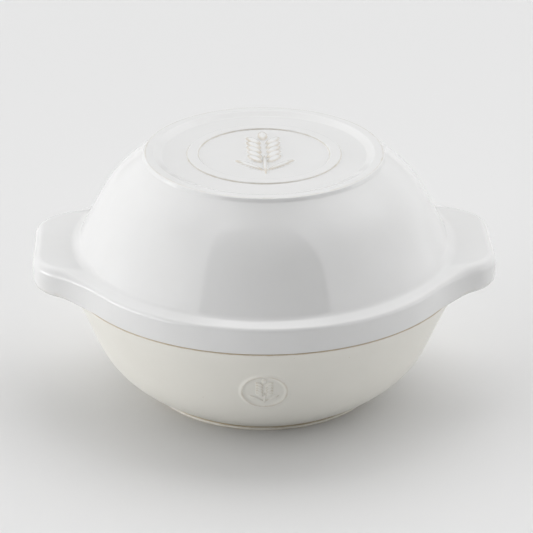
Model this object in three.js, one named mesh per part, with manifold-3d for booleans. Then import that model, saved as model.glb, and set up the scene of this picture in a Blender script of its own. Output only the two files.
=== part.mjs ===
// Ceramic bread pot: a round bowl under a domed lid with two ear handles.
// Millimetres, +Z up. The origin is on the pot's axis, where the foot stands.

import * as THREE from "three";
import { mergeVertices } from "three/addons/utils/BufferGeometryUtils.js";
import Module from "manifold-3d";

const wasm = await Module();
wasm.setup();

// Overall sizes
const rimRadius = 130; // outside of the lid's rim
const bowlHeight = 82; // table to the top of the bowl's rim
const lidHeight = 81.7; // underside of the lid's rim to the top of its crown
const wall = 8; // thickness of the bowl's wall and of the dome

// How the lid sits on the bowl
const seatGap = 0.3; // under the lid's rim
const rimOverhang = 0.5; // lid's rim past the bowl's
const seatWidth = 11; // the bowl's flat rim, which the lid stands on
const locateDepth = 5; // locating ring, down into the bowl's mouth
const locateWidth = 7;
const locateClearance = 1.5; // round the locating ring

// Bowl
const footRadius = 76;
const footHeight = 2.2;
const footWidth = 9;
const footRecess = 2; // the underside inside the foot ring is raised by this
const footCrease = 1.2; // the wall springs from this far inside the foot's edge
const footRound = 0.7; // lower outer edge of the foot
const floorThickness = 9;
const bowlFootAngle = 31; // slope of the wall where it leaves the foot, degrees
const bowlFootPull = 48; // how far that slope is followed
const bowlRimAngle = 61;
const bowlRimPull = 47;
const bowlRimUpright = 1.5; // last stretch of the wall, up to the rim
const bowlRimRound = 0.8;

// Lid
const bandHeight = 16; // upright face of the rim
const bandRound = 3; // its upper edge
const bandFootRound = 1.3; // its lower edge
const ledgeWidth = 8; // top of the rim, from the dome to the band's face
const ledgeRise = 4; // the ledge climbs this much from the band to the dome
const ledgeFillet = 6; // hollow between the ledge and the dome
const domeRimAngle = 117; // slope of the dome where it leaves the rim, degrees
const domeRimPull = 46;
const domeCrownAngle = 141;
const domeCrownPull = 32;
const crownRadius = 77.6; // outside of the crown's lip
const lipHeight = 2.6; // dome to the top of the lip
const lipLean = 1; // the lip's foot stands out by this much
const lipHollow = 2; // at the lip's foot
const lipWidth = 6;
const lipRound = 1;
const recessDepth = 2.3;
const recessSlope = 5.5; // width of the soft slope from the lip to the recess
const crownThickness = 8.5;
const medallionRadius = 50.4; // plain raised ring in the recess
const medallionWidth = 8.4;
const medallionHeight = 1;
const medallionSlope = 1;

// Ear handles, in plan
const earLength = 20.5; // rim to the tip
const earTipHalf = 22.5; // half of the straight tip
const earCornerRadius = 28;
const earFlareRadius = 90; // hollow sweep from the ear into the rim
const earRoot = 10; // how far the ear reaches into the rim
const earRound = 4.5; // its upper and lower edges

// Fineness of the round faces
const turnSteps = 60;
const curveSteps = 10;
const roundSteps = 2;
const weldGap = 1e-4; // corners nearer than this become one

const mouthRadius = rimRadius - rimOverhang - seatWidth;
const lidSeat = bowlHeight + seatGap;
const crownTop = lidSeat + lidHeight;
const bandTop = lidSeat + bandHeight;
const ledgeTop = bandTop + ledgeRise;

const point = (r, z) => new THREE.Vector2(r, z);
const heading = (degrees) => {
  const turn = THREE.MathUtils.degToRad(degrees);
  return point(Math.cos(turn), Math.sin(turn));
};

// Points of a profile given as corners [r, z, round]. Each round is a short curve that
// touches the two stretches on either side of its corner.
function rounded(corners) {
  return corners.flatMap(([r, z, round], i) => {
    const corner = point(r, z);
    if (!round) return [corner];
    const back = point(...corners[i - 1]).sub(corner).normalize();
    const on = point(...corners[i + 1]).sub(corner).normalize();
    const reach = round / Math.tan(back.angleTo(on) / 2);
    const first = back.multiplyScalar(reach).add(corner);
    const last = on.multiplyScalar(reach).add(corner);
    return new THREE.QuadraticBezierCurve(first, corner, last).getPoints(roundSteps);
  });
}

// Points of a wall that leaves its start at one slope and meets its end at another
function sweep(start, startAngle, startPull, end, endAngle, endPull) {
  const first = heading(startAngle).multiplyScalar(startPull).add(start);
  const last = heading(endAngle).multiplyScalar(-endPull).add(end);
  return new THREE.CubicBezierCurve(start, first, last, end).getPoints(curveSteps);
}

// The inner face of a wall: its outer points moved square to it by the wall's thickness.
// The outside lies to the right of the way the points run.
function innerFace(outer) {
  return outer.map((at, i) => {
    const before = outer[Math.max(i - 1, 0)];
    const after = outer[Math.min(i + 1, outer.length - 1)];
    const along = after.clone().sub(before).normalize();
    return point(at.x - along.y * wall, at.y + along.x * wall);
  });
}

// Where the straight line through two profile points reaches a height
function reach(a, b, z) {
  const share = (z - a.y) / (b.y - a.y);
  return point(a.x + (b.x - a.x) * share, z);
}

// A profile of corners turned about the pot's axis
function turned(corners) {
  return new THREE.LatheGeometry(rounded(corners), turnSteps).rotateX(Math.PI / 2);
}

// A closed geometry as a solid that can be joined
function solidOf(geometry) {
  geometry.deleteAttribute("normal");
  geometry.deleteAttribute("uv");
  const merged = mergeVertices(geometry, weldGap);
  const corners = Array.from(merged.index.array);
  const kept = [];
  for (let i = 0; i < corners.length; i += 3) {
    const [a, b, c] = corners.slice(i, i + 3);
    if (a !== b && b !== c && c !== a) kept.push(a, b, c);
  }
  const mesh = new wasm.Mesh({
    numProp: 3,
    vertProperties: merged.attributes.position.array,
    triVerts: new Uint32Array(kept),
  });
  return new wasm.Manifold(mesh);
}

// A solid as a geometry to show
function geometryOf(solid) {
  const mesh = solid.getMesh();
  const geometry = new THREE.BufferGeometry();
  geometry.setAttribute("position", new THREE.BufferAttribute(mesh.vertProperties, 3));
  geometry.setIndex(new THREE.BufferAttribute(mesh.triVerts, 1));
  geometry.computeVertexNormals();
  return geometry;
}

// The bowl: foot ring, swelling wall, flat rim, a mouth for the lid's ring, and a flat floor
function bowlGeometry() {
  const rim = rimRadius - rimOverhang;
  const floor = footRecess + floorThickness;
  const mouthFloor = lidSeat - locateDepth - locateClearance;
  const outside = sweep(
    point(footRadius - footCrease, footHeight), bowlFootAngle, bowlFootPull,
    point(rim, bowlHeight - bowlRimUpright), bowlRimAngle, bowlRimPull,
  );
  const inside = innerFace(outside)
    .filter((at) => at.y > floor && at.y < mouthFloor)
    .map((at) => point(Math.min(at.x, mouthRadius), at.y))
    .reverse();
  const [low, lower] = inside.slice(-2);
  return turned([
    [0, footRecess],
    [footRadius - footWidth - footRecess, footRecess],
    [footRadius - footWidth, 0],
    [footRadius, 0, footRound],
    [footRadius, footHeight - footCrease],
    ...outside.map((at) => at.toArray()),
    [rim, bowlHeight, bowlRimRound],
    [mouthRadius, bowlHeight],
    [mouthRadius, mouthFloor],
    ...inside.map((at) => at.toArray()),
    reach(low, lower, floor).toArray(),
    [0, floor],
  ]);
}

// The lid's turned body: locating ring, rim band, ledge, dome, and a crown with a recess
function domeGeometry() {
  const ringOuter = mouthRadius - locateClearance;
  const ringInner = ringOuter - locateWidth;
  const ringFoot = lidSeat - locateDepth;
  const domeFoot = rimRadius - ledgeWidth;
  const recess = crownTop - recessDepth;
  const ceiling = recess - crownThickness;
  const lipInner = crownRadius - lipWidth;
  const emblemTop = recess + medallionHeight;
  const emblemInner = medallionRadius - medallionWidth;
  const lipFoot = point(crownRadius + lipLean, crownTop - lipHeight);
  const outside = sweep(
    point(domeFoot, ledgeTop), domeRimAngle, domeRimPull,
    lipFoot, domeCrownAngle, domeCrownPull,
  );
  const inside = innerFace(outside)
    .filter((at) => at.y < ceiling)
    .map((at) => point(Math.min(at.x, ringInner), at.y))
    .reverse();
  const [high, next] = inside;
  return turned([
    [0, ceiling],
    reach(next, high, ceiling).toArray(),
    ...inside.map((at) => at.toArray()),
    [ringInner, ringFoot],
    [ringOuter, ringFoot],
    [ringOuter, lidSeat],
    [rimRadius, lidSeat, bandFootRound],
    [rimRadius, bandTop, bandRound],
    [domeFoot, ledgeTop, ledgeFillet],
    ...outside.slice(1, -1).map((at) => at.toArray()),
    [lipFoot.x, lipFoot.y, lipHollow],
    [crownRadius, crownTop, lipRound],
    [lipInner, crownTop],
    [lipInner - recessSlope, recess],
    [medallionRadius, recess],
    [medallionRadius - medallionSlope, emblemTop],
    [emblemInner + medallionSlope, emblemTop],
    [emblemInner, recess],
    [0, recess],
  ]);
}

// One ear on the +X side: a straight tip, round corners, and a hollow flare into the rim
function earGeometry() {
  const corner = new THREE.Vector2(rimRadius + earLength - earCornerRadius, earTipHalf);
  const flareReach = rimRadius + earFlareRadius;
  const cornerReach = earCornerRadius + earFlareRadius;
  const away = corner.length();
  const spread = Math.acos(
    (flareReach ** 2 + away ** 2 - cornerReach ** 2) / (2 * flareReach * away),
  );
  const rootAngle = corner.angle() + spread;
  const flare = heading(THREE.MathUtils.radToDeg(rootAngle)).multiplyScalar(flareReach);
  const bend = corner.clone().sub(flare).angle();
  const outline = new THREE.Shape();
  outline.absarc(0, 0, rimRadius - earRoot, rootAngle, -rootAngle, true);
  outline.absarc(flare.x, -flare.y, earFlareRadius, Math.PI - rootAngle, -bend, true);
  outline.absarc(corner.x, -corner.y, earCornerRadius, Math.PI - bend, 0, false);
  outline.absarc(corner.x, corner.y, earCornerRadius, 0, bend - Math.PI, false);
  outline.absarc(flare.x, flare.y, earFlareRadius, bend, rootAngle - Math.PI, true);
  outline.closePath();
  const ear = new THREE.ExtrudeGeometry(outline, {
    depth: ledgeTop - lidSeat - 2 * earRound,
    bevelThickness: earRound,
    bevelSize: earRound,
    bevelOffset: -earRound,
    bevelSegments: roundSteps,
    curveSegments: curveSteps,
  });
  return ear.translate(0, 0, lidSeat + earRound);
}

// The lid: the turned body with an ear on each side, pressed as one piece
function lidGeometry() {
  const right = solidOf(earGeometry());
  const left = solidOf(earGeometry().rotateZ(Math.PI));
  return geometryOf(solidOf(domeGeometry()).add(right).add(left));
}

function piece(name, geometry, color, roughness) {
  const material = new THREE.MeshStandardMaterial({ color, roughness, metalness: 0 });
  const mesh = new THREE.Mesh(geometry, material);
  mesh.name = name;
  return mesh;
}

const breadPot = new THREE.Group();
breadPot.name = "bread_pot";
breadPot.add(piece("bowl", geometryOf(solidOf(bowlGeometry())), 0xe6e2d8, 0.35));
breadPot.add(piece("lid", lidGeometry(), 0xf1f1f0, 0.15));

export default breadPot;
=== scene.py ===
import math

import bpy
import numpy as np
from mathutils import Matrix, Vector


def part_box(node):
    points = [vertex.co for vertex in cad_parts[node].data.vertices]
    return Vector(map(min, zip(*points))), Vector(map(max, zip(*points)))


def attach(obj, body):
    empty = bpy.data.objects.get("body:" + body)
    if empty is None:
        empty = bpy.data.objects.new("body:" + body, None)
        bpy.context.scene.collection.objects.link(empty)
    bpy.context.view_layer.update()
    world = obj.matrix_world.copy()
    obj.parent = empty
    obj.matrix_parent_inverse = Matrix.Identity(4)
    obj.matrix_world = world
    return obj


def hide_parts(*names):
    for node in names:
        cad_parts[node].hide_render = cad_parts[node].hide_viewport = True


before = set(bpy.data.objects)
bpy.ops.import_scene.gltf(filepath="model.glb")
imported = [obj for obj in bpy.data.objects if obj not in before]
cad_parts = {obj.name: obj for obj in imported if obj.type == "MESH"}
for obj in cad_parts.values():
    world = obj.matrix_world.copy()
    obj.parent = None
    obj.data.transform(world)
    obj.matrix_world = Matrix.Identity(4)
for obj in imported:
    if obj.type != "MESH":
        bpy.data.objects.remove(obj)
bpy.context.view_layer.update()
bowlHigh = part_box("bowl")[1]
lidLow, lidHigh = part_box("lid")
mm = 0.001
clear = 1 * mm  # points of a wall keep this far from the corners at its ends
photoTurn = math.radians(-2.2)  # the photo is taken from this far round, off the pot's own front
print("frame loaded:", sorted(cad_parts))


# Profiles, in the (r, z) plane

# Direction as a unit vector, counted in degrees from +r towards +z
def heading(degrees):
    turn = np.radians(degrees)
    return np.array([np.cos(turn), np.sin(turn)])


# Cubic Bezier curve that leaves its start at one slope and meets its end at another.
# Each pull is the distance from that end to its control point, along its slope.
def sweep(start, startAngle, startPull, end, endAngle, endPull, steps=40):
    t = np.linspace(0, 1, steps + 1)[:, None]
    first = start + startPull * heading(startAngle)
    last = end - endPull * heading(endAngle)
    ends = (1 - t) ** 3 * np.array(start) + t ** 3 * np.array(end)
    return ends + 3 * t * (1 - t) * ((1 - t) * first + t * last)


# Inner face of a wall: every outer point moved square to the curve, to the left of its run
def innerFace(outer, thickness):
    along = np.gradient(outer, axis=0)
    along /= np.hypot(along[:, 0], along[:, 1])[:, None]
    return outer + thickness * np.stack([-along[:, 1], along[:, 0]], axis=1)


# A run of corners (r, z, round) as a profile. Each round is a circular arc that touches both
# neighbouring stretches: a quadratic Bezier, its middle weighted by the sine of the half angle.
def rounded(corners, steps=5):
    t = np.linspace(0, 1, steps + 1)[:, None]
    run = [np.array([corners[0][:2]])]
    for before, corner, after in zip(corners, corners[1:], corners[2:]):
        middle = np.array(corner[:2])
        if corner[2] == 0:
            run.append(middle[None])
            continue
        back = np.array(before[:2]) - middle
        on = np.array(after[:2]) - middle
        back, on = back / np.hypot(*back), on / np.hypot(*on)
        half = np.arccos(np.clip(back @ on, -1, 1)) / 2
        reach = corner[2] / np.tan(half)
        first, last = (1 - t) ** 2, t ** 2
        centre = 2 * np.sin(half) * t * (1 - t)
        arc = first * (middle + reach * back) + centre * middle + last * (middle + reach * on)
        run.append(arc / (first + centre + last))
    run.append(np.array([corners[-1][:2]]))
    return np.vstack(run)


# Points of a curve as corners with no round
def plain(curve):
    return [(r, z, 0) for r, z in curve]


# The same profile with more stations: each stretch is cut into equal parts, none over the gap
def stationed(profile, gap):
    steps = np.diff(profile, axis=0)
    parts = np.maximum(1, np.ceil(np.hypot(steps[:, 0], steps[:, 1]) / gap - 1e-6).astype(int))
    start = np.repeat(np.arange(len(parts)), parts)
    share = (np.arange(len(start)) - np.repeat(np.cumsum(parts) - parts, parts)) / parts[start]
    return np.vstack([profile[start] + steps[start] * share[:, None], profile[-1:]])


# How near each profile point is to a set of edges (r, z, width, strength): the strength on the
# edge itself, falling off as a bell curve, and the strongest edge wins
def nearEdges(profile, edges):
    spots = np.array(edges)
    away = np.hypot(profile[:, :1] - spots[:, 0], profile[:, 1:] - spots[:, 1])
    return (spots[:, 3] * np.exp(-(away / spots[:, 2]) ** 2)).max(axis=1)


# Meshes

# Closed skin over a grid[angle, station] of points. The first and last stations are poles on the
# axis, and the angle wraps round. Each extra is a grid of numbers kept as a point attribute.
def skin(name, grid, extras):
    turns, stations = grid.shape[:2]
    inner = stations - 2
    around = np.arange(turns)[:, None]
    ahead = (around + 1) % turns
    along = np.arange(inner - 1)[None]
    quads = np.stack([
        around * inner + along, ahead * inner + along,
        ahead * inner + along + 1, around * inner + along + 1,
    ], axis=-1).reshape(-1, 4)
    first, last = turns * inner, turns * inner + 1
    rim, nextRim = around[:, 0] * inner, ahead[:, 0] * inner
    startCap = np.stack([np.full(turns, first), nextRim, rim], axis=1)
    endCap = np.stack([rim + inner - 1, nextRim + inner - 1, np.full(turns, last)], axis=1)
    points = np.vstack([grid[:, 1:-1].reshape(-1, 3), grid[:1, 0], grid[:1, -1]])
    mesh = bpy.data.meshes.new(name)
    mesh.from_pydata(points.tolist(), [], quads.tolist() + startCap.tolist() + endCap.tolist())
    for key, values in extras.items():
        flat = np.concatenate([values[:, 1:-1].ravel(), values[:1, 0], values[:1, -1]])
        mesh.attributes.new(key, "FLOAT", "POINT").data.foreach_set("value", flat.astype(np.float32))
    mesh.shade_smooth()
    mesh.validate()
    piece = bpy.data.objects.new(name, mesh)
    bpy.context.scene.collection.objects.link(piece)
    print(name, "made:", len(mesh.vertices), "points,", len(quads) * 2 + turns * 2, "triangles")
    return piece


# Emblem: one ear of wheat, in units of the emblem's radius
wheat = {
    "pairs": 5, "firstGrain": -0.24, "grainStep": 0.2, "grainAside": 0.165, "grainTilt": 33,
    "grainHalf": (0.205, 0.088), "stemHalf": (0.42, 0.035), "stemMiddle": -0.5,
    "leafAside": 0.27, "leafUp": -0.52, "leafTilt": 46, "leafHalf": (0.33, 0.066),
}


# Lumps of the ear as rows (x, y, tilt, half length, half width): a stem, one grain on top,
# two leaves, and grains in pairs
def wheatLumps():
    w = wheat
    lumps = [(0, w["stemMiddle"], 0, *w["stemHalf"])]
    lumps.append((0, w["firstGrain"] + (w["pairs"] + 0.1) * w["grainStep"], 0, *w["grainHalf"]))
    for side in (-1, 1):
        lumps.append((side * w["leafAside"], w["leafUp"], side * w["leafTilt"], *w["leafHalf"]))
        for i in range(w["pairs"]):
            up = w["firstGrain"] + i * w["grainStep"]
            lumps.append((side * w["grainAside"], up, side * w["grainTilt"], *w["grainHalf"]))
    return np.array(lumps)


# Height of the ear of wheat, 0 to 1, at points (x, y). Each lump is half an egg: its height is
# the square root of 1 less the squared distance from its centre, and the highest lump wins.
def wheatEar(x, y):
    lumps = wheatLumps()
    shape = (...,) + (None,) * np.ndim(x)
    tilt = np.radians(lumps[:, 2])[shape]
    dx, dy = x - lumps[:, 0][shape], y - lumps[:, 1][shape]
    along = dx * np.sin(tilt) + dy * np.cos(tilt)
    across = dx * np.cos(tilt) - dy * np.sin(tilt)
    far = (along / lumps[:, 3][shape]) ** 2 + (across / lumps[:, 4][shape]) ** 2
    return np.sqrt(np.clip(1 - far, 0, 1)).max(axis=0)


# Bowl

bowl = {
    "footRadius": 76 * mm, "footHeight": 2.2 * mm, "footWidth": 9 * mm, "footRecess": 2 * mm,
    "footCrease": 1.2 * mm, "floorThickness": 9 * mm, "wall": 8 * mm,
    "footAngle": 31, "footPull": 48 * mm, "rimAngle": 61, "rimPull": 47 * mm,
    "rimUpright": 1.5 * mm, "seatWidth": 11 * mm, "mouthDepth": 6.2 * mm,
    "recessRound": 1.5 * mm, "footInnerRound": 1 * mm, "footRound": 0.7 * mm,
    "footTopRound": 0.5 * mm, "creaseRound": 0.3 * mm,
    "rimRound": 0.5 * mm, "mouthRound": 1.5 * mm, "mouthFloorRound": 3 * mm, "floorRound": 16 * mm,
    "emblemHeight": 49 * mm, "emblemRadius": 14.2 * mm,
    "emblemLine": 1.2 * mm, "emblemRise": 0.8 * mm,
    "emblemAside": 0.5,  # degrees round from the middle of the view
    "earAcross": 1.3, "earUp": 0.86,  # size of the ear of wheat, as shares of the emblem's radius
    "emblemReach": 1.2,  # stretch of wall with fine stations, as a share of the emblem's radius
    "underGap": 3 * mm, "wallGap": 1.5 * mm, "emblemGap": 0.3 * mm, "overGap": 3.5 * mm,
    "turns": 300, "crowding": 0.88,  # how much the grid crowds to the front, where the emblem is
    # thin glaze on the edges, as (width, strength), and on the emblem's ring and ear, as strengths; at
    # the foot and its crease the toasted tone is partly thin glaze and partly painted shade
    "thinRim": (0.7 * mm, 1.2), "thinMouth": (1.6 * mm, 0.9),
    "footThinAndShade": (1.0 * mm, 0.85), "creaseThinAndShade": (0.8 * mm, 1.2), "thinRing": 0.6, "thinEar": 2.4,
    "bareFoot": 0.45, "bareSeat": 0.42,  # reach of the bare clay, as shares of foot and seat
}
emblemAngle = -math.pi / 2 + photoTurn + math.radians(bowl["emblemAside"])


# Bowl profile from the middle of the underside, over foot, wall and rim, to the middle of the floor
def bowlProfile():
    b = bowl
    rim, top = bowlHigh.x, bowlHigh.z
    mouth = rim - b["seatWidth"]
    mouthFloor = top - b["mouthDepth"]
    floor = b["footRecess"] + b["floorThickness"]
    foot, crease = b["footRadius"], b["footCrease"]
    outside = sweep((foot - crease, b["footHeight"]), b["footAngle"], b["footPull"],
                    (rim, top - b["rimUpright"]), b["rimAngle"], b["rimPull"])
    inside = innerFace(outside, b["wall"])[::-1]
    inside = inside[(inside[:, 1] > floor + clear) & (inside[:, 1] < mouthFloor - clear)]
    inside[:, 0] = np.minimum(inside[:, 0], mouth)
    slope = (inside[-1] - inside[-2]) / (inside[-1, 1] - inside[-2, 1])
    floorEdge = inside[-1] + slope * (floor - inside[-1, 1])
    under = rounded([
        (0, b["footRecess"], 0),
        (foot - b["footWidth"] - b["footRecess"], b["footRecess"], b["recessRound"]),
        (foot - b["footWidth"], 0, b["footInnerRound"]),
        (foot, 0, b["footRound"]),
        (foot, b["footHeight"] - crease, b["footTopRound"]),
        (*outside[0], b["creaseRound"]),
        *plain(outside[1:2]),
    ])[:-1]
    over = rounded([
        *plain(outside[-2:]),
        (rim, top, b["rimRound"]),
        (mouth, top, b["mouthRound"]),
        (mouth, mouthFloor, b["mouthFloorRound"]),
        *plain(inside[:-1]),
        (*floorEdge, b["floorRound"]),
        (0, floor, 0),
    ])[1:]
    wall = outside[1:-1]
    pressed = np.abs(wall[:, 1] - b["emblemHeight"]) < b["emblemReach"] * b["emblemRadius"]
    first, last = np.flatnonzero(pressed)[[0, -1]]
    return np.vstack([
        stationed(under, b["underGap"]),
        stationed(wall[:first + 1], b["wallGap"])[:-1],
        stationed(wall[first:last + 1], b["emblemGap"]),
        stationed(wall[last:], b["wallGap"])[1:],
        stationed(over, b["overGap"]),
    ])


# Bowl skin: the profile turned about the axis, with the angle crowded to the front by
# angle = u - crowding * sin(u), and the emblem's ring and ear raised along the profile's normal.
# The height of the ring is a bell curve of the distance from its circle.
def makeBowl():
    b = bowl
    profile = bowlProfile()
    u = np.linspace(-math.pi, math.pi, b["turns"], endpoint=False)
    turn = u - b["crowding"] * np.sin(u)  # from the middle of the emblem
    angle = emblemAngle + turn
    along = np.gradient(profile, axis=0)
    along /= np.hypot(along[:, 0], along[:, 1])[:, None]
    run = np.concatenate([[0], np.cumsum(np.hypot(*np.diff(profile, axis=0).T))])
    outer = run < run[np.argmax(profile[:, 1])]  # stations before the rim's top
    centre = np.interp(b["emblemHeight"], profile[outer, 1], run[outer])
    across = profile[None, :, 0] * turn[:, None]
    up = np.broadcast_to(run - centre, across.shape)
    away = np.hypot(across, up)
    size = b["emblemRadius"]
    ring = np.exp(-((away - size) / b["emblemLine"]) ** 2)
    ear = np.where(away < size, wheatEar(across / size / b["earAcross"], up / size / b["earUp"]), 0)
    rise = b["emblemRise"] * np.maximum(ring, ear)
    r = profile[None, :, 0] + rise * along[None, :, 1]
    z = profile[None, :, 1] - rise * along[None, :, 0]
    grid = np.stack([r * np.cos(angle)[:, None], r * np.sin(angle)[:, None], z], axis=-1)
    rim, top, foot = bowlHigh.x, bowlHigh.z, b["footRadius"]
    # The foot's lower edge and the crease above it take the thin tone, made darker as painted shade for
    # the shadow where the foot meets the floor
    thin = nearEdges(profile, [
        (rim, top - 0.4 * b["rimRound"], *b["thinRim"]),
        (rim - b["seatWidth"], top, *b["thinMouth"]),
        (foot, 0, *b["footThinAndShade"]),
        (foot - b["footCrease"], b["footHeight"], *b["creaseThinAndShade"]),
    ])
    thin = np.maximum(thin[None], np.maximum(b["thinRing"] * ring, b["thinEar"] * ear * (1 - ear)))
    bare = nearEdges(profile, [
        (foot - b["footWidth"] / 2, -1 * mm, b["bareFoot"] * b["footWidth"], 1),
        (rim - b["seatWidth"] / 2, top, b["bareSeat"] * b["seatWidth"], 1),
    ])
    bare = np.broadcast_to(bare, thin.shape)
    return skin("bread_pot_bowl", grid, {"thinGlaze": thin, "bareClay": bare})


# Lid

lid = {
    "seatGap": 0.05 * mm, "ringClearance": 1.5 * mm, "ringWidth": 7 * mm, "wall": 8 * mm,
    "ringRound": 1.5 * mm, "ringHollow": 0.8 * mm, "ceilingRound": 10 * mm,
    "ledgeTop": 20.3 * mm, "ledgeWidth": 8 * mm,  # dome's foot: over the bowl's rim, in from the band
    "plainRim": {"bandTop": 16.3 * mm, "bandRound": 3 * mm, "footRound": 0.6 * mm, "hollow": 6 * mm},
    "earRim": {"bandTop": 20.3 * mm, "bandRound": 6 * mm, "footRound": 5.5 * mm, "hollow": 8 * mm},
    "shelfStart": 3 * mm, "domeStart": 6 * mm,  # rim's section: from the ring outwards, up to the dome
    "earTipHalf": 22.5 * mm, "earCorner": 28 * mm, "earFlare": 90 * mm,
    "earFade": 12 * mm,  # the plain rim's section becomes the ears' over this much of the flare
    "domeRimAngle": 117, "domeRimPull": 46 * mm,
    "domeCrownAngle": 141, "domeCrownPull": 32 * mm,
    "crownRadius": 77.6 * mm, "lipHeight": 2.6 * mm, "lipLean": 1 * mm, "lipWidth": 6 * mm,
    "lipRound": 1.2 * mm, "lipHollow": 2 * mm, "lipInnerRound": 2.5 * mm,
    "recessDepth": 2.3 * mm, "recessSlope": 5.5 * mm, "recessRound": 4 * mm, "crownThickness": 8.5 * mm,
    "medallionRadius": 50.4 * mm, "medallionWidth": 8.4 * mm, "medallionRound": 0.5 * mm,
    "medallionHeight": 1 * mm, "medallionSlope": 1 * mm,
    "emblemSize": 38 * mm, "emblemRise": 1.9 * mm,
    "emblemStart": 7 * mm,  # fine stations begin this far outside the medallion
    "underGap": 5 * mm, "domeGap": 1.8 * mm, "emblemGap": 0.8 * mm, "turns": 320,
    # thin glaze on the edges, as (width, strength), and on the ear of wheat, as a strength
    "thinSeam": (0.7 * mm, 0.5), "thinLip": (0.8 * mm, 0.6), "thinMedallion": (0.8 * mm, 0.75),
    "thinEar": 3.2,
    "barePlace": 0.62, "bareReach": 0.4,  # bare clay under the rim, as shares of the bowl's seat
}


# Outline of the rim with its two ears, as points and outward normals at polar angles. One quarter
# is a straight tip, a round corner, a hollow flare and the rim's circle, each met by a ray from
# the axis.
def rimOutline(angle):
    rim, tip = lidHigh.y, lidHigh.x
    corner = np.array([tip - lid["earCorner"], lid["earTipHalf"]])
    cornerAway = np.hypot(*corner)
    flareAway = rim + lid["earFlare"]
    reach = lid["earCorner"] + lid["earFlare"]
    spread = np.arccos((flareAway ** 2 + cornerAway ** 2 - reach ** 2) / (2 * flareAway * cornerAway))
    root = np.arctan2(corner[1], corner[0]) + spread
    flare = flareAway * np.array([np.cos(root), np.sin(root)])
    touch = corner + lid["earCorner"] * (flare - corner) / reach  # where corner meets flare
    ray = np.stack([np.abs(np.cos(angle)), np.abs(np.sin(angle))], axis=-1)
    turn = np.arctan2(ray[:, 1], ray[:, 0])
    onCorner, onFlare = ray @ corner, ray @ flare
    cornerHalf = np.maximum(0, onCorner ** 2 - cornerAway ** 2 + lid["earCorner"] ** 2)
    flareHalf = np.maximum(0, onFlare ** 2 - flareAway ** 2 + lid["earFlare"] ** 2)
    cornerRay, flareRay = onCorner + np.sqrt(cornerHalf), onFlare - np.sqrt(flareHalf)
    stretch = [
        turn < np.arctan2(corner[1], tip),
        turn < np.arctan2(touch[1], touch[0]),
        turn < root,
    ]
    length = np.select(stretch, [tip / np.maximum(ray[:, 0], 1e-6), cornerRay, flareRay], rim)
    points = ray * length[:, None]
    normals = np.select([s[:, None] for s in stretch], [
        np.broadcast_to([1.0, 0.0], points.shape), points - corner, flare - points,
    ], points)
    normals = normals / np.hypot(normals[:, 0], normals[:, 1])[:, None]
    signs = np.stack([np.sign(np.cos(angle)), np.sign(np.sin(angle))], axis=-1)
    return points * signs, normals * signs


# Section of the rim from its underside over band and ledge into the dome: stations (r, z), and
# each one's share of the ears. The count of stations is the same for any sizes, so two sections
# can be blended.
def rimSection(shape, ringOuter):
    rim, seat = lidHigh.y, bowlHigh.z + lid["seatGap"]
    edge = np.array([rim, bowlHigh.z + shape["bandTop"]])
    foot = np.array([rim - lid["ledgeWidth"], bowlHigh.z + lid["ledgeTop"]])
    inward = (foot - edge) / np.hypot(*(foot - edge))
    slope = np.arctan2(inward[1], -inward[0])
    edgeReach = shape["bandRound"] * np.tan((math.pi / 2 - slope) / 2)
    hollowReach = shape["hollow"] * np.tan((math.pi - np.radians(lid["domeRimAngle"]) - slope) / 2)
    step = 0.3 * mm  # from the end of a round to the next station
    shelfEnd = rim - shape["footRound"] - 2 * step
    shelf = np.linspace((ringOuter + lid["shelfStart"], seat), (shelfEnd, seat), 14)
    band = rounded([
        (rim - shape["footRound"] - step, seat, 0),
        (rim, seat, shape["footRound"]),
        (rim, seat + shape["footRound"] + step, 0),
        (rim, edge[1] - edgeReach - step, 0),
        (*edge, shape["bandRound"]),
        (*(edge + inward * (edgeReach + step)), 0),
    ], steps=8)
    ledgeStart, ledgeEnd = edgeReach + 2 * step, hollowReach + 2 * step
    ledge = np.linspace(edge + inward * ledgeStart, foot - inward * ledgeEnd, 12)
    hollow = rounded([
        (*(foot - inward * (hollowReach + step)), 0),
        (*foot, shape["hollow"]),
        (*(foot + heading(lid["domeRimAngle"]) * (hollowReach + step)), 0),
    ], steps=10)
    share = np.concatenate([
        np.linspace(0, 1, len(shelf)), np.ones(len(band)),
        np.linspace(1, 0, len(ledge)), np.zeros(len(hollow)),
    ])
    return np.vstack([shelf, band, ledge, hollow]), share


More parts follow.
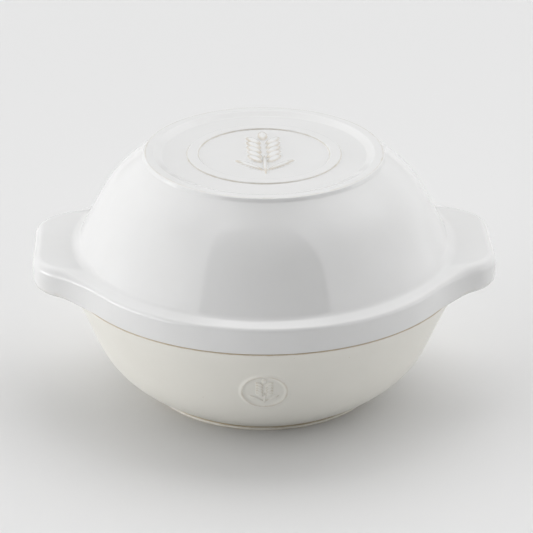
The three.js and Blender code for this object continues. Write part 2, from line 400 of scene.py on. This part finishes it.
# Lid profile from the middle of the ceiling, down inside, under the rim, over band, dome and crown
# to the middle of the recess: once with the plain rim, once with the ears' rim, and each station's
# share of the ears
def lidProfiles():
    p = lid
    rim, top = lidHigh.y, lidHigh.z
    seat = bowlHigh.z + p["seatGap"]
    ringOuter = bowlHigh.x - bowl["seatWidth"] - p["ringClearance"]
    ringInner = ringOuter - p["ringWidth"]
    ledgeTop = bowlHigh.z + p["ledgeTop"]
    crown, recess = p["crownRadius"], top - p["recessDepth"]
    ceiling = recess - p["crownThickness"]
    lipFoot = (crown + p["lipLean"], top - p["lipHeight"])
    outside = sweep((rim - p["ledgeWidth"], ledgeTop), p["domeRimAngle"], p["domeRimPull"],
                    lipFoot, p["domeCrownAngle"], p["domeCrownPull"])
    inside = innerFace(outside, p["wall"])[::-1]
    inside = inside[(inside[:, 1] < ceiling - clear) & (inside[:, 0] < ringInner - clear / 2)][::2]
    slope = (inside[0] - inside[1]) / (inside[0, 1] - inside[1, 1])
    ceilingEdge = inside[0] + slope * (ceiling - inside[0, 1])
    lipInner = crown - p["lipWidth"]
    medallion, emblemTop = p["medallionRadius"], recess + p["medallionHeight"]
    medallionInner = medallion - p["medallionWidth"]
    under = rounded([
        (0, ceiling, 0),
        (*ceilingEdge, p["ceilingRound"]),
        *plain(inside[1:]),
        (ringInner, inside[-1, 1] - 2 * clear, 0),
        (ringInner, lidLow.z, p["ringRound"]),
        (ringOuter, lidLow.z, p["ringRound"]),
        (ringOuter, seat, p["ringHollow"]),
        (ringOuter + p["shelfStart"] - clear, seat, 0),
    ])
    onDome = (outside[:, 1] > ledgeTop + p["domeStart"]) & (outside[:, 1] < lipFoot[1] - clear)
    dome = rounded([
        *plain(outside[onDome]),
        (*lipFoot, p["lipHollow"]),
        (crown, top, p["lipRound"]),
        (lipInner, top, p["lipInnerRound"]),
        (lipInner - p["recessSlope"], recess, p["recessRound"]),
        (medallion + p["emblemStart"] + clear, recess, 0),
    ], steps=7)
    emblem = rounded([
        (medallion + p["emblemStart"], recess, 0),
        (medallion, recess, p["medallionRound"]),
        (medallion - p["medallionSlope"], emblemTop, p["medallionRound"]),
        (medallionInner + p["medallionSlope"], emblemTop, p["medallionRound"]),
        (medallionInner, recess, p["medallionRound"]),
        (0, recess, 0),
    ], steps=3)
    before = stationed(under, p["underGap"])
    after = np.vstack([stationed(dome, p["domeGap"]), stationed(emblem, p["emblemGap"])])
    plainRim, share = rimSection(p["plainRim"], ringOuter)
    earRim = rimSection(p["earRim"], ringOuter)[0]
    share = np.concatenate([np.zeros(len(before)), share, np.zeros(len(after))])
    return np.vstack([before, plainRim, after]), np.vstack([before, earRim, after]), share


# Lid skin: at each angle the two profiles are blended by how far the outline stands out from the
# rim. Then point = (1 - share) * circle at the station's radius + share * outline moved in, along
# its normal, by the station's distance from the rim. The ear of wheat stands on the recess.
def makeLid():
    p = lid
    plainRim, earRim, share = lidProfiles()
    rim, top = lidHigh.y, lidHigh.z
    angle = np.linspace(0, 2 * math.pi, p["turns"], endpoint=False) + math.pi / p["turns"]
    ray = np.stack([np.cos(angle), np.sin(angle)], axis=-1)
    outline, normal = rimOutline(angle)
    out = np.clip((np.hypot(outline[:, 0], outline[:, 1]) - rim) / p["earFade"], 0, 1)
    out = (out * out * (3 - 2 * out))[:, None, None]
    profile = plainRim[None] + out * (earRim - plainRim)[None]
    r, z = profile[..., :1], profile[..., 1]
    flat = (1 - share[None, :, None]) * r * ray[:, None]
    flat = flat + share[None, :, None] * (outline[:, None] - (rim - r) * normal[:, None])
    recess = top - p["recessDepth"]
    medallion = p["medallionRadius"]
    medallionInner = medallion - p["medallionWidth"]
    onTop = (plainRim[:, 1] > recess - 0.1 * mm) & (plainRim[:, 0] < medallionInner)
    ear = wheatEar(flat[..., 0] / p["emblemSize"], flat[..., 1] / p["emblemSize"])
    ear = np.where(onTop[None], ear, 0)
    grid = np.concatenate([flat, (z + p["emblemRise"] * ear)[..., None]], axis=-1)
    seat = bowlHigh.z + p["seatGap"]
    middle, half = recess + p["medallionHeight"] / 2, p["medallionSlope"] / 2
    thin = nearEdges(plainRim, [  # seam and lip are a little inside their corners, on the rounds
        (rim - 0.2 * mm, seat + 0.2 * mm, *p["thinSeam"]),
        (p["crownRadius"] - 0.8 * mm, top - 0.1 * mm, *p["thinLip"]),
        (medallion - half, middle, *p["thinMedallion"]),
        (medallionInner + half, middle, *p["thinMedallion"]),
    ])
    thin = np.maximum(thin[None], p["thinEar"] * ear * (1 - ear))
    spots = np.stack([np.hypot(flat[..., 0], flat[..., 1]), z], axis=-1).reshape(-1, 2)
    width = bowl["seatWidth"]
    bare = nearEdges(spots, [(rim - p["barePlace"] * width, seat, p["bareReach"] * width, 1)])
    return skin("bread_pot_lid", grid, {"thinGlaze": thin, "bareClay": bare.reshape(thin.shape)})


# Materials

# sRGB hex to linear colour
def linearColour(code):
    srgb = np.array([int(code[i:i + 2], 16) for i in (0, 2, 4)]) / 255
    linear = np.where(srgb <= 0.04045, srgb / 12.92, ((srgb + 0.055) / 1.055) ** 2.4)
    return (*linear.tolist(), 1.0)


# Adds a node with its settings; an input is either a value or another node's output socket
def addNode(tree, kind, settings=None, inputs=None):
    node = tree.nodes.new(kind)
    for key, value in (settings or {}).items():
        setattr(node, key, value)
    for key, value in (inputs or {}).items():
        if isinstance(value, bpy.types.NodeSocket):
            tree.links.new(value, node.inputs[key])
        else:
            node.inputs[key].default_value = value
    return node


# Glossy white glaze on stoneware: mirror-like and faintly wavy, warm and thin over edges, with a
# few pinholes
whiteGlaze = {
    "glaze": "E6E6E6", "shade": "DEDEDD", "thin": "C6BBA8", "clay": "CDBB9D",
    "roughness": 0.07, "clayRoughness": 0.8, "ior": 1.52,
    "cloud": 45 * mm, "ripple": 16 * mm, "rippleHeight": 0.05 * mm,
    "breakUp": 7 * mm, "pinhole": 9 * mm, "pinholeShare": 0.03,
}

# Satin cream glaze on the same stoneware: soft broad sheen, fine sandy tooth, toasted where it
# is thin; on the foot and in its crease the toasted tone is also painted shade
creamGlaze = {
    "glaze": "ECEAE3", "shade": "E5E3DB", "thin": "B5A488", "clay": "C6B596",
    "roughness": 0.34, "clayRoughness": 0.85, "ior": 1.5,
    "cloud": 40 * mm, "ripple": 5 * mm, "rippleHeight": 0.02 * mm,
    "breakUp": 6 * mm, "pinhole": 7 * mm, "pinholeShare": 0.06,
}


# What the two glazes share: noise that frays the edges of thin glaze and bare clay, the amounts at
# which each begins and is full, a pinhole's soft edge in its cell, and the grit of the bare clay
glazing = {
    "fray": 0.7, "thinFrom": (0.3, 1.1), "bareFrom": (0.45, 0.6),
    "pinholeEdge": (0.03, 0.07), "pinholeDepth": 0.5,
    "grain": 0.7 * mm, "tooth": 0.12 * mm,  # about twice the size of real grit, so that it shows
}


# A glaze: clouds of two near tones, pinholes picked from scattered cells, the thin tone where the
# attribute thinGlaze passes a noisy threshold (on the bowl's foot and crease partly painted shade),
# and bare gritty clay where bareClay does
def glazeMaterial(name, look):
    material = bpy.data.materials.new(name)
    material.use_nodes = True
    tree = material.node_tree
    tree.nodes.clear()
    place = addNode(tree, "ShaderNodeTexCoord").outputs["Object"]
    thin = addNode(tree, "ShaderNodeAttribute", {"attribute_name": "thinGlaze"}).outputs["Fac"]
    bare = addNode(tree, "ShaderNodeAttribute", {"attribute_name": "bareClay"}).outputs["Fac"]
    cloud = addNode(tree, "ShaderNodeTexNoise", None, {
        "Vector": place, "Scale": 1 / look["cloud"], "Detail": 3.0, "Roughness": 0.55}).outputs["Fac"]
    ripple = addNode(tree, "ShaderNodeTexNoise", None, {
        "Vector": place, "Scale": 1 / look["ripple"], "Detail": 2.0, "Roughness": 0.4}).outputs["Fac"]
    breakUp = addNode(tree, "ShaderNodeTexNoise", None, {
        "Vector": place, "Scale": 1 / look["breakUp"], "Detail": 5.0, "Roughness": 0.6}).outputs["Fac"]
    grain = addNode(tree, "ShaderNodeTexNoise", None, {
        "Vector": place, "Scale": 1 / glazing["grain"], "Detail": 2.0}).outputs["Fac"]
    cells = addNode(tree, "ShaderNodeTexVoronoi", None, {
        "Vector": place, "Scale": 1 / look["pinhole"]}).outputs
    pick = addNode(tree, "ShaderNodeSeparateColor", None, {"Color": cells["Color"]}).outputs["Red"]
    picked = addNode(tree, "ShaderNodeMath", {"operation": "LESS_THAN"}, {
        0: pick, 1: look["pinholeShare"]})
    full, gone = glazing["pinholeEdge"]
    spot = addNode(tree, "ShaderNodeMapRange", {"interpolation_type": "SMOOTHSTEP"}, {
        "Value": cells["Distance"], "From Min": full, "From Max": gone,
        "To Min": glazing["pinholeDepth"], "To Max": 0.0})
    pinhole = addNode(tree, "ShaderNodeMath", {"operation": "MULTIPLY"}, {
        0: spot.outputs["Result"], 1: picked.outputs["Value"]}).outputs["Value"]
    fray = addNode(tree, "ShaderNodeMath", {"operation": "MULTIPLY_ADD"}, {
        0: breakUp, 1: glazing["fray"], 2: -glazing["fray"] / 2}).outputs["Value"]
    shares = []
    for amount, (start, full) in ((thin, glazing["thinFrom"]), (bare, glazing["bareFrom"])):
        frayed = addNode(tree, "ShaderNodeMath", {"operation": "ADD"}, {0: amount, 1: fray})
        share = addNode(tree, "ShaderNodeMapRange", {"interpolation_type": "SMOOTHSTEP"}, {
            "Value": frayed.outputs["Value"], "From Min": start, "From Max": full})
        shares.append(share.outputs["Result"])
    thinShare, bareShare = shares
    tone = addNode(tree, "ShaderNodeMix", {"data_type": "RGBA"}, {
        0: cloud, 6: linearColour(look["glaze"]), 7: linearColour(look["shade"])}).outputs[2]
    dotted = addNode(tree, "ShaderNodeMix", {"data_type": "RGBA"}, {
        0: pinhole, 6: tone, 7: linearColour(look["thin"])}).outputs[2]
    edged = addNode(tree, "ShaderNodeMix", {"data_type": "RGBA"}, {
        0: thinShare, 6: dotted, 7: linearColour(look["thin"])}).outputs[2]
    colour = addNode(tree, "ShaderNodeMix", {"data_type": "RGBA"}, {
        0: bareShare, 6: edged, 7: linearColour(look["clay"])}).outputs[2]
    roughness = addNode(tree, "ShaderNodeMix", {"data_type": "FLOAT"}, {
        0: bareShare, 2: look["roughness"], 3: look["clayRoughness"]}).outputs[0]
    wave = addNode(tree, "ShaderNodeBump", None, {
        "Height": ripple, "Distance": look["rippleHeight"], "Strength": 1.0}).outputs["Normal"]
    tooth = addNode(tree, "ShaderNodeBump", None, {
        "Height": grain, "Distance": glazing["tooth"], "Strength": bareShare,
        "Normal": wave}).outputs["Normal"]
    shader = addNode(tree, "ShaderNodeBsdfPrincipled", None, {
        "Base Color": colour, "Roughness": roughness, "IOR": look["ior"], "Normal": tooth})
    addNode(tree, "ShaderNodeOutputMaterial", None, {"Surface": shader.outputs["BSDF"]})
    return material


# Put each piece on its body
def fit(piece, node, material):
    piece.data.materials.append(material)
    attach(piece, node)
    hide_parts(node)


fit(makeBowl(), "bowl", glazeMaterial("satin_cream_glaze", creamGlaze))
fit(makeLid(), "lid", glazeMaterial("glossy_white_glaze", whiteGlaze))

# Studio: pale floor, light tent, camera

# The light tent, as rings of (compass angle, glow): lamps by the table, walls, roof, and a skylight
# overhead. Angles are in degrees from the camera's side, with the left side below 0. The tent is
# open, and dark, to the camera: the sides of that opening lean back as they rise, and it ends just
# before overhead. Each ring takes over from the one below between two heights, given as sines.
studio = {
    "floorSize": 30.0, "floorColour": "DEDEDE", "floorRoughness": 0.5,
    "lamps": [(-180, 0.1), (-106, 1.5), (-90, 14), (-74, 14), (-58, 6), (-44, 0),
              (70, 0), (90, 6.5), (106, 1.6), (180, 0.1)],
    "walls": [(-180, 0.6), (-108, 1.2), (-60, 2.0), (-36, 1.4),
              (42, 1.4), (75, 1.4), (120, 1.0), (180, 0.6)],
    "roof": [(-180, 1.8), (-105, 1.3), (-60, 0.5), (-36, 1.3),
             (42, 1.3), (60, 0.8), (105, 2.2), (180, 1.8)],
    "skylight": [(-180, 3.1), (-100, 3.1), (-60, 0.1), (60, 0.1), (100, 3.1), (180, 3.1)],
    "wallsFrom": (0, 0.22), "roofFrom": (0.4, 0.8), "skylightFrom": (0.92, 0.98),
    "opening": (-35.7, 42), "openingEdge": 0.6, "openingTop": 0.31, "openingTopEdge": 0.03,
    "lean": (-0.1, 0.1),
}


# World shader: each ring is a ramp over the compass angle from an axis that leans, and height mixes
# one ring into the next. The strength drops to 0 inside the opening.
def lightTent():
    world = bpy.data.worlds.new("light_tent")
    world.use_nodes = True
    tree = world.node_tree
    tree.nodes.clear()
    toward = addNode(tree, "ShaderNodeTexCoord").outputs["Generated"]
    axes = addNode(tree, "ShaderNodeSeparateXYZ", None, {0: toward}).outputs
    aside = addNode(tree, "ShaderNodeMath", {"operation": "MULTIPLY_ADD"}, {
        0: axes["Z"], 1: -studio["lean"][0], 2: axes["X"]})
    back = addNode(tree, "ShaderNodeMath", {"operation": "MULTIPLY_ADD"}, {
        0: axes["Z"], 1: -studio["lean"][1], 2: axes["Y"]})
    ahead = addNode(tree, "ShaderNodeMath", {"operation": "MULTIPLY"}, {
        0: back.outputs[0], 1: -1.0})
    compass = addNode(tree, "ShaderNodeMath", {"operation": "ARCTAN2"}, {
        0: aside.outputs[0], 1: ahead.outputs[0]})
    place = addNode(tree, "ShaderNodeMath", {"operation": "MULTIPLY_ADD"}, {
        0: compass.outputs[0], 1: 0.5 / math.pi, 2: 0.5 - photoTurn / 2 / math.pi})
    brightest = max(glow for angle, glow in studio["lamps"])
    glow = None
    for ring in ("lamps", "walls", "roof", "skylight"):
        ramp = addNode(tree, "ShaderNodeValToRGB", None, {"Fac": place.outputs[0]})
        stops = ramp.color_ramp.elements
        while len(stops) < len(studio[ring]):
            stops.new(0)
        for stop, (angle, level) in zip(stops, studio[ring]):
            stop.position = 0.5 + angle / 360
            stop.color = (*[level / brightest] * 3, 1)
        if glow is None:
            glow = ramp.outputs["Color"]
            continue
        start, full = studio[ring + "From"]
        height = addNode(tree, "ShaderNodeMapRange", {"interpolation_type": "SMOOTHSTEP"}, {
            "Value": axes["Z"], "From Min": start, "From Max": full})
        glow = addNode(tree, "ShaderNodeMix", {"data_type": "RGBA"}, {
            0: height.outputs["Result"], 6: glow, 7: ramp.outputs["Color"]}).outputs[2]
    left, right = studio["opening"]
    off = addNode(tree, "ShaderNodeMath", {"operation": "SUBTRACT"}, {
        0: place.outputs[0], 1: 0.5 + (left + right) / 720})
    off = addNode(tree, "ShaderNodeMath", {"operation": "ABSOLUTE"}, {0: off.outputs[0]})
    beside = addNode(tree, "ShaderNodeMapRange", {"interpolation_type": "SMOOTHSTEP"}, {
        "Value": off.outputs[0], "To Max": brightest,
        "From Min": (right - left - studio["openingEdge"]) / 720,
        "From Max": (right - left + studio["openingEdge"]) / 720})
    over = addNode(tree, "ShaderNodeMath", {"operation": "MULTIPLY_ADD"}, {
        0: axes["Z"], 1: studio["openingTop"], 2: axes["Y"]})
    above = addNode(tree, "ShaderNodeMapRange", {"interpolation_type": "SMOOTHSTEP"}, {
        "Value": over.outputs[0], "To Max": brightest,
        "From Min": -studio["openingTopEdge"], "From Max": studio["openingTopEdge"]})
    strength = addNode(tree, "ShaderNodeMath", {"operation": "MAXIMUM"}, {
        0: beside.outputs["Result"], 1: above.outputs["Result"]})
    light = addNode(tree, "ShaderNodeBackground", None, {
        "Color": glow, "Strength": strength.outputs[0]})
    addNode(tree, "ShaderNodeOutputWorld", None, {"Surface": light.outputs[0]})
    bpy.context.scene.world = world


# Floor: one flat square of matt paper, far wider than the picture
def makeFloor():
    half = studio["floorSize"] / 2
    mesh = bpy.data.meshes.new("floor")
    corners = [(-half, -half, 0), (half, -half, 0), (half, half, 0), (-half, half, 0)]
    mesh.from_pydata(corners, [], [(0, 1, 2, 3)])
    floor = bpy.data.objects.new("floor", mesh)
    bpy.context.scene.collection.objects.link(floor)
    paper = bpy.data.materials.new("pale_floor")
    paper.use_nodes = True
    shader = paper.node_tree.nodes["Principled BSDF"]
    shader.inputs["Base Color"].default_value = linearColour(studio["floorColour"])
    shader.inputs["Roughness"].default_value = studio["floorRoughness"]
    mesh.materials.append(paper)


camera = {
    "elevation": 24.91, "distance": 1.7, "aimHeight": 81.6 * mm, "aimAside": 1.92 * mm,
    "roll": 0.267, "focalPixels": 2577.3, "imagePixels": 533, "sensor": 36.0,
}


# Camera: it looks down at the aim point from its distance, is rolled a little about its view, and
# goes round the pot with the photo's turn. The lens comes from the focal length in picture pixels.
def makeCamera():
    c = camera
    data = bpy.data.cameras.new("camera")
    data.sensor_width = c["sensor"]
    data.lens = c["focalPixels"] / c["imagePixels"] * c["sensor"]
    eye = bpy.data.objects.new("camera", data)
    bpy.context.scene.collection.objects.link(eye)
    tilt, roll = math.radians(c["elevation"]), math.radians(c["roll"])
    back = Vector((0, -math.cos(tilt), math.sin(tilt)))
    right, up = Vector((1, 0, 0)), Vector((0, math.sin(tilt), math.cos(tilt)))
    rolledRight = right * math.cos(roll) + up * math.sin(roll)
    rolledUp = up * math.cos(roll) - right * math.sin(roll)
    turn = Matrix((rolledRight, rolledUp, back)).transposed()
    aim = Vector((c["aimAside"], 0, c["aimHeight"]))
    around = Matrix.Rotation(photoTurn, 4, "Z")
    eye.matrix_world = around @ Matrix.Translation(aim + back * c["distance"]) @ turn.to_4x4()
    bpy.context.scene.camera = eye


makeFloor()
lightTent()
makeCamera()
bpy.context.scene.view_settings.view_transform = "Standard"
print("studio and camera ready")
